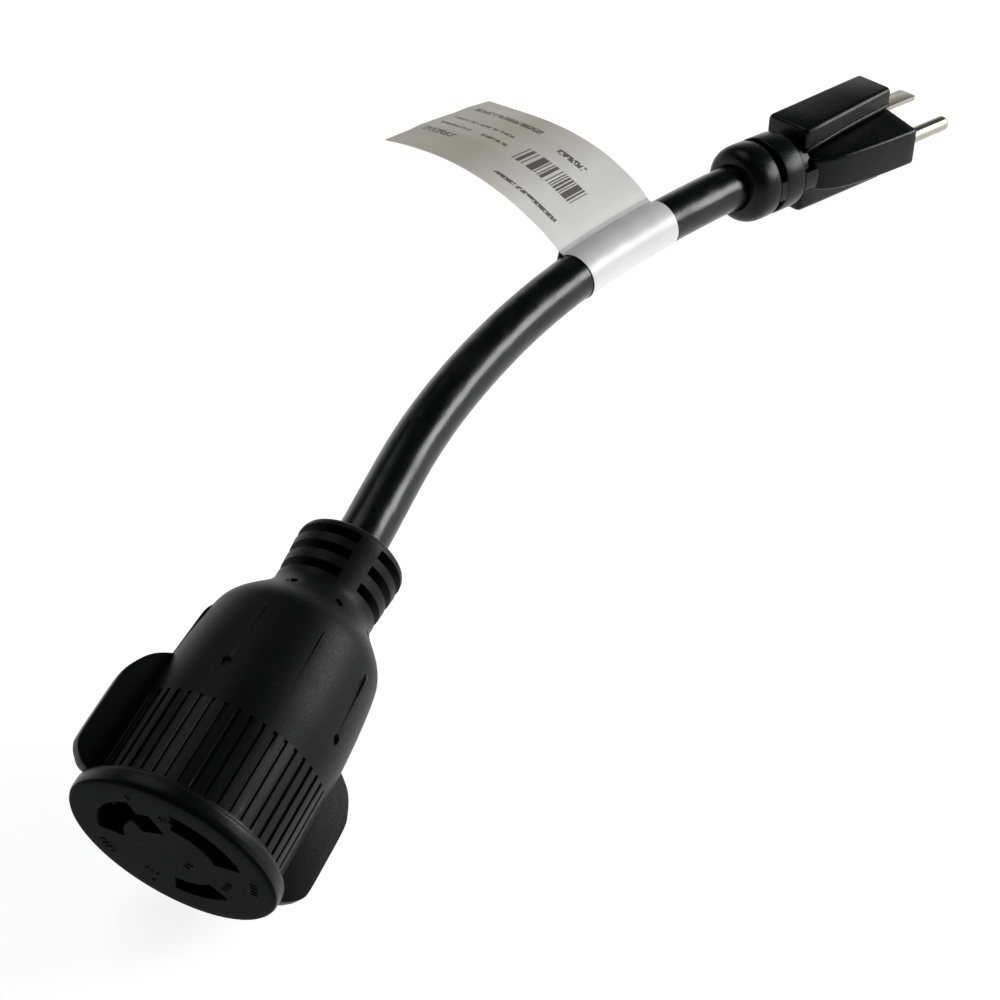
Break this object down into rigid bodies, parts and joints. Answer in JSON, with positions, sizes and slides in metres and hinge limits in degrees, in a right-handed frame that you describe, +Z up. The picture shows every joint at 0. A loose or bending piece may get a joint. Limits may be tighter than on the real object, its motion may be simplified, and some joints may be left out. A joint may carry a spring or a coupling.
{
  "type": "dogbone power adapter",
  "caption": "Short heavy cable that joins a round locking power socket with two grip wings to a flat household plug, with a folded warning label on the cable.",
  "frame": {"origin": "centre of the bottom of the bounding box of the socket and the plug, without the cable and its label", "axes": "+X runs along the adapter from the socket to the plug, +Z is up from the surface it lies on"},
  "size_m": [0.3401, 0.1388, 0.0525],
  "materials": {
    "moulded_pvc": "fine matte texture, black",
    "hard_face": "smooth satin, black",
    "jacket_vinyl": "glossy, black",
    "label_vinyl": null,
    "natural_nylon": "satin, off-white",
    "brass": "bright",
    "plated_brass": "nickel plated",
    "bare_copper": "bright copper",
    "green_insulation": "satin, green",
    "white_insulation": "satin, white",
    "black_insulation": "satin, black"
  },
  "bodies": {
    "root": {"socket_shell": "moulded_pvc", "socket_insert": "hard_face", "contact_retainer": "natural_nylon", "ground_contact": "brass", "neutral_contact": "brass", "line_contact": "brass", "socket_ground_core": "bare_copper", "socket_neutral_core": "bare_copper", "socket_line_core": "bare_copper", "socket_ground_insulation": "green_insulation", "socket_neutral_insulation": "white_insulation", "socket_line_insulation": "black_insulation", "cable_jacket": "jacket_vinyl", "cable_label": "label_vinyl", "plug_shell": "moulded_pvc", "prong_bridge": "natural_nylon", "line_blade": "plated_brass", "neutral_blade": "plated_brass", "ground_pin": "plated_brass", "plug_ground_core": "bare_copper", "plug_neutral_core": "bare_copper", "plug_line_core": "bare_copper", "plug_ground_insulation": "green_insulation", "plug_neutral_insulation": "white_insulation", "plug_line_insulation": "black_insulation"}
  },
  "joints": []
}
